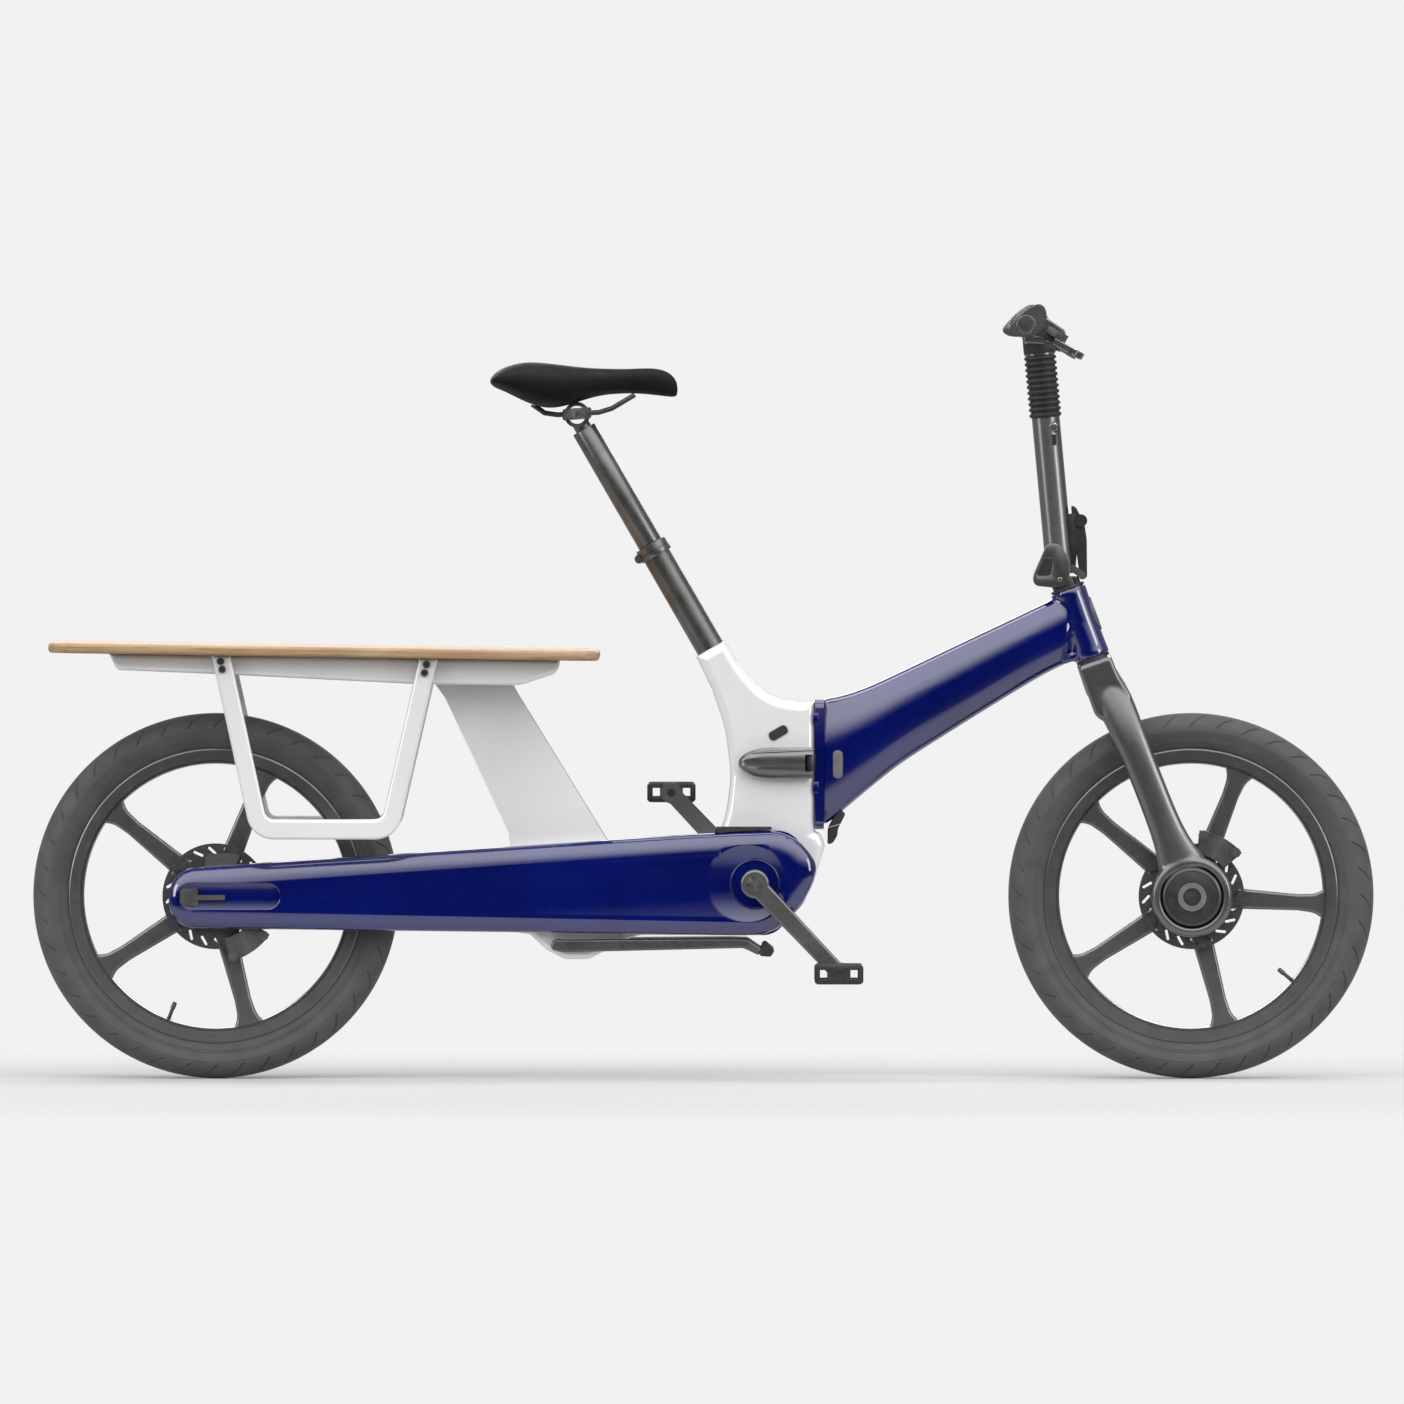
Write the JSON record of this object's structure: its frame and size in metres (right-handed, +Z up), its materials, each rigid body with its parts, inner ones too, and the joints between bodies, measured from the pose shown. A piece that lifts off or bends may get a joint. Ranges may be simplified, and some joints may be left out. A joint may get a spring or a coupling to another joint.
{
  "type": "cargo bicycle",
  "caption": "Folding long-tail cargo bicycle with cast five-spoke wheels, one-sided fork, boxed chain drive and a wooden plank rack.",
  "frame": {"origin": "on the ground, midway between the two axles and on the bicycle's centre plane", "axes": "+X points the way the bicycle rides, +Y to the rider's left, +Z up; the chain is on the -Y side"},
  "size_m": [1.877, 0.6, 1.078],
  "materials": {
    "blue_paint": "gloss",
    "white_paint": "gloss",
    "deck_wood": "satin",
    "dark_cast": "satin",
    "black_anodised": "satin",
    "dark_steel": "satin",
    "bright_steel": "satin",
    "rotor_steel": "satin",
    "pad_compound": "matte",
    "tyre_rubber": "matte",
    "black_rubber": "matte",
    "grey_rubber": "matte",
    "grip_rubber": "matte",
    "black_plastic": "satin",
    "grey_plastic": "gloss",
    "saddle_cover": "matte"
  },
  "bodies": {
    "rear_frame": {"main_frame": "white_paint", "rack_strut": "white_paint", "rack_tray": "white_paint", "rack_deck": "deck_wood", "side_guard_right": "white_paint", "side_guard_left": "white_paint", "guard_bolts": "dark_steel", "drive_case_back": "blue_paint", "drive_case_cover": "blue_paint", "drive_chain": "bright_steel", "frame_rubber_trim": "black_rubber", "bottom_bracket_bearings": "bright_steel", "fold_hinge_rear": "dark_steel", "rear_axle": "bright_steel", "rear_caliper": "dark_cast", "rear_brake_pads": "pad_compound"},
    "front_frame": {"front_frame": "blue_paint", "battery_pack": "black_plastic", "head_badge": "grey_plastic", "frame_plug": "grey_rubber", "joint_bumper": "grey_rubber", "headset_bearings": "bright_steel", "fold_hinge_front": "dark_steel"},
    "frame_latch": {"frame_latch_lever": "dark_cast"},
    "fork": {"fork_blade": "dark_cast", "fork_steerer": "bright_steel", "front_hub_cap": "dark_cast", "motor_stator": "bright_steel", "front_caliper": "dark_cast", "front_brake_pads": "pad_compound", "stem_base": "black_plastic"},
    "front_wheel": {"front_tyre": "tyre_rubber", "front_wheel": "dark_cast", "front_rotor": "rotor_steel"},
    "rear_wheel": {"rear_tyre": "tyre_rubber", "rear_wheel": "dark_cast", "rear_rotor": "rotor_steel"},
    "sprocket": {"rear_sprocket": "bright_steel"},
    "crank": {"crank_spindle": "bright_steel", "chainring": "bright_steel", "crank_arm_right": "dark_cast", "crank_arm_left": "dark_cast"},
    "pedal_right": {"pedal_right": "black_plastic"},
    "pedal_left": {"pedal_left": "black_plastic"},
    "stem": {"stem_tube": "dark_cast"},
    "stem_latch": {"stem_latch_lever": "black_plastic"},
    "handlebar": {"handlebar": "dark_cast", "stem_bellows": "black_rubber", "grips": "grip_rubber", "lever_perches": "dark_cast"},
    "brake_lever_right": {"brake_lever_right": "dark_cast"},
    "brake_lever_left": {"brake_lever_left": "dark_cast"},
    "lower_post": {"seatpost_lower": "black_anodised"},
    "upper_post": {"seatpost_upper": "black_anodised"},
    "saddle": {"saddle": "saddle_cover", "saddle_rails": "dark_steel", "saddle_clamp": "bright_steel"},
    "stand": {"kickstand": "black_anodised", "kickstand_feet": "black_rubber"},
    "axle_lever": {"rear_axle_lever": "dark_cast"}
  },
  "joints": [
    {"name": "frame_fold", "type": "hinge", "parent": "rear_frame", "child": "front_frame", "pos_m": [0.156, 0.043, 0.437], "axis": [0, 0, 1], "range_deg": [0, 110]},
    {"name": "frame_latch_open", "type": "hinge", "parent": "rear_frame", "child": "frame_latch", "pos_m": [0.1495, -0.042, 0.4425], "axis": [0, 0, 1], "range_deg": [0, 90]},
    {"name": "steering", "type": "hinge", "parent": "front_frame", "child": "fork", "pos_m": [0.5452, 0, 0.5884], "axis": [-0.341, 0, 0.94], "range_deg": [-60, 60]},
    {"name": "front_wheel_spin", "type": "hinge", "parent": "fork", "child": "front_wheel", "pos_m": [0.6825, 0, 0.256], "axis": [0, 1, 0], "continuous": true},
    {"name": "rear_wheel_spin", "type": "hinge", "parent": "rear_frame", "child": "rear_wheel", "pos_m": [-0.6825, 0, 0.256], "axis": [0, 1, 0], "continuous": true},
    {"name": "crank_spin", "type": "hinge", "parent": "rear_frame", "child": "crank", "pos_m": [0.0718, 0, 0.2744], "axis": [0, 1, 0], "continuous": true},
    {"name": "sprocket_spin", "type": "hinge", "parent": "rear_frame", "child": "sprocket", "pos_m": [-0.6825, -0.062, 0.256], "axis": [0, 1, 0], "continuous": true},
    {"name": "pedal_right_spin", "type": "hinge", "parent": "crank", "child": "pedal_right", "pos_m": [0.1886, -0.15, 0.15088], "axis": [0, 1, 0], "continuous": true},
    {"name": "pedal_left_spin", "type": "hinge", "parent": "crank", "child": "pedal_left", "pos_m": [-0.04501, 0.15, 0.39792], "axis": [0, 1, 0], "continuous": true},
    {"name": "stem_fold", "type": "hinge", "parent": "fork", "child": "stem", "pos_m": [0.4685, 0, 0.698], "axis": [0, -1, 0], "range_deg": [0, 100]},
    {"name": "stem_latch_open", "type": "hinge", "parent": "stem", "child": "stem_latch", "pos_m": [0.531, 0, 0.703], "axis": [0, 1, 0], "range_deg": [0, 70]},
    {"name": "bar_height", "type": "slide", "parent": "stem", "child": "handlebar", "axis": [-0.0932, 0, 0.9956], "range_m": [-0.06, 0], "deforming": ["stem_bellows"]},
    {"name": "brake_right_pull", "type": "hinge", "parent": "handlebar", "child": "brake_lever_right", "pos_m": [0.497, -0.172, 1.037], "axis": [0.4894, 0, 0.8721], "range_deg": [-24, 0], "stiffness_Nm_per_rad": 0.6},
    {"name": "brake_left_pull", "type": "hinge", "parent": "handlebar", "child": "brake_lever_left", "pos_m": [0.497, 0.172, 1.037], "axis": [0.4894, 0, 0.8721], "range_deg": [0, 24], "stiffness_Nm_per_rad": 0.6},
    {"name": "lower_post_slide", "type": "slide", "parent": "rear_frame", "child": "lower_post", "axis": [-0.5, 0, 0.866], "range_m": [-0.13, 0]},
    {"name": "upper_post_slide", "type": "slide", "parent": "lower_post", "child": "upper_post", "axis": [-0.5, 0, 0.866], "range_m": [-0.15, 0]},
    {"name": "saddle_tilt", "type": "hinge", "parent": "upper_post", "child": "saddle", "pos_m": [-0.177, 0, 0.929], "axis": [0, 1, 0], "range_deg": [-8, 8]},
    {"name": "stand_fold", "type": "hinge", "parent": "rear_frame", "child": "stand", "pos_m": [-0.203, 0, 0.189], "axis": [0, 1, 0], "range_deg": [0, 35.5]},
    {"name": "axle_lever_open", "type": "hinge", "parent": "rear_frame", "child": "axle_lever", "pos_m": [-0.729, -0.077, 0.256], "axis": [0, 0, -1], "range_deg": [0, 85]}
  ],
  "couplings": [
    {"joint": "sprocket_spin", "follows": "crank_spin", "ratio": 2.0769}
  ]
}
